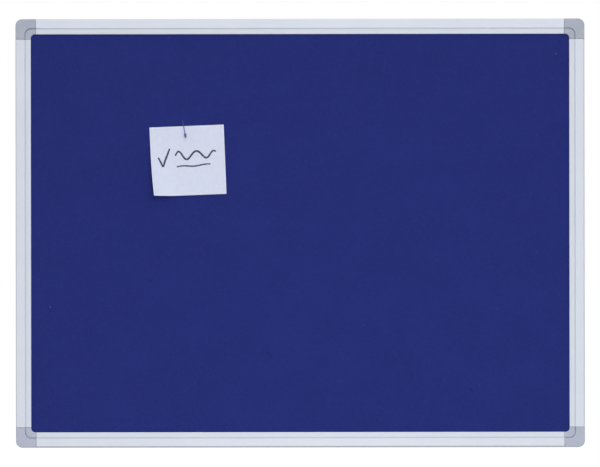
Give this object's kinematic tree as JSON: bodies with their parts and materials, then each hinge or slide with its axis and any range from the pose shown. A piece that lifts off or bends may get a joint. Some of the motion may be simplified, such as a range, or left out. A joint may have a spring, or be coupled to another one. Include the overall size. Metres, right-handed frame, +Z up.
{
  "type": "felt bulletin board",
  "caption": "Wall-hung bulletin board: felt panel in an aluminium frame with grey plastic corners and clip-on caps, a paper note held by a pin.",
  "frame": {"origin": "rear face of the top rail, halfway along the rail and 12.2 mm below the board's top edge, where it lies on the wall", "axes": "+X to the board's right, seen from the front; +Y from the front to the wall; +Z up"},
  "size_m": [0.6, 0.0259, 0.452],
  "materials": {
    "frame_aluminium": "satin anodised",
    "corner_plastic": "satin moulded",
    "screw_steel": "zinc plated",
    "felt": "fibrous felt",
    "softboard": "raw fibreboard",
    "back_card": "matt",
    "note_paper": "matt",
    "pin_steel": "polished",
    "pin_plastic": "gloss"
  },
  "bodies": {
    "board": {"rail_top": "frame_aluminium", "rail_bottom": "frame_aluminium", "rail_left": "frame_aluminium", "rail_right": "frame_aluminium", "corner_top_left": "corner_plastic", "corner_top_right": "corner_plastic", "corner_bottom_left": "corner_plastic", "corner_bottom_right": "corner_plastic", "screw_top_left_1": "screw_steel", "screw_top_left_2": "screw_steel", "screw_top_right_1": "screw_steel", "screw_top_right_2": "screw_steel", "screw_bottom_left_1": "screw_steel", "screw_bottom_left_2": "screw_steel", "screw_bottom_right_1": "screw_steel", "screw_bottom_right_2": "screw_steel", "felt_cover": "felt", "core_board": "softboard", "back_sheet": "back_card"},
    "cap_top_left": {"cap_top_left": "corner_plastic"},
    "cap_top_right": {"cap_top_right": "corner_plastic"},
    "cap_bottom_left": {"cap_bottom_left": "corner_plastic"},
    "cap_bottom_right": {"cap_bottom_right": "corner_plastic"},
    "pin": {"pin_shaft": "pin_steel", "pin_head": "pin_plastic"},
    "note": {"note_sheet": "note_paper"}
  },
  "joints": [
    {"name": "cap_top_left_pull", "type": "slide", "parent": "board", "child": "cap_top_left", "axis": [0, -1, 0], "range_m": [0, 0.015]},
    {"name": "cap_top_right_pull", "type": "slide", "parent": "board", "child": "cap_top_right", "axis": [0, -1, 0], "range_m": [0, 0.015]},
    {"name": "cap_bottom_left_pull", "type": "slide", "parent": "board", "child": "cap_bottom_left", "axis": [0, -1, 0], "range_m": [0, 0.015]},
    {"name": "cap_bottom_right_pull", "type": "slide", "parent": "board", "child": "cap_bottom_right", "axis": [0, -1, 0], "range_m": [0, 0.015]},
    {"name": "pin_pull", "type": "slide", "parent": "board", "child": "pin", "axis": [0.1907, -0.1908, -0.9629], "range_m": [0, 0.014]},
    {"name": "note_swing", "type": "hinge", "parent": "board", "child": "note", "pos_m": [-0.12245, -0.0144, -0.10285], "axis": [0, -1, 0], "range_deg": [-30, 30]}
  ]
}
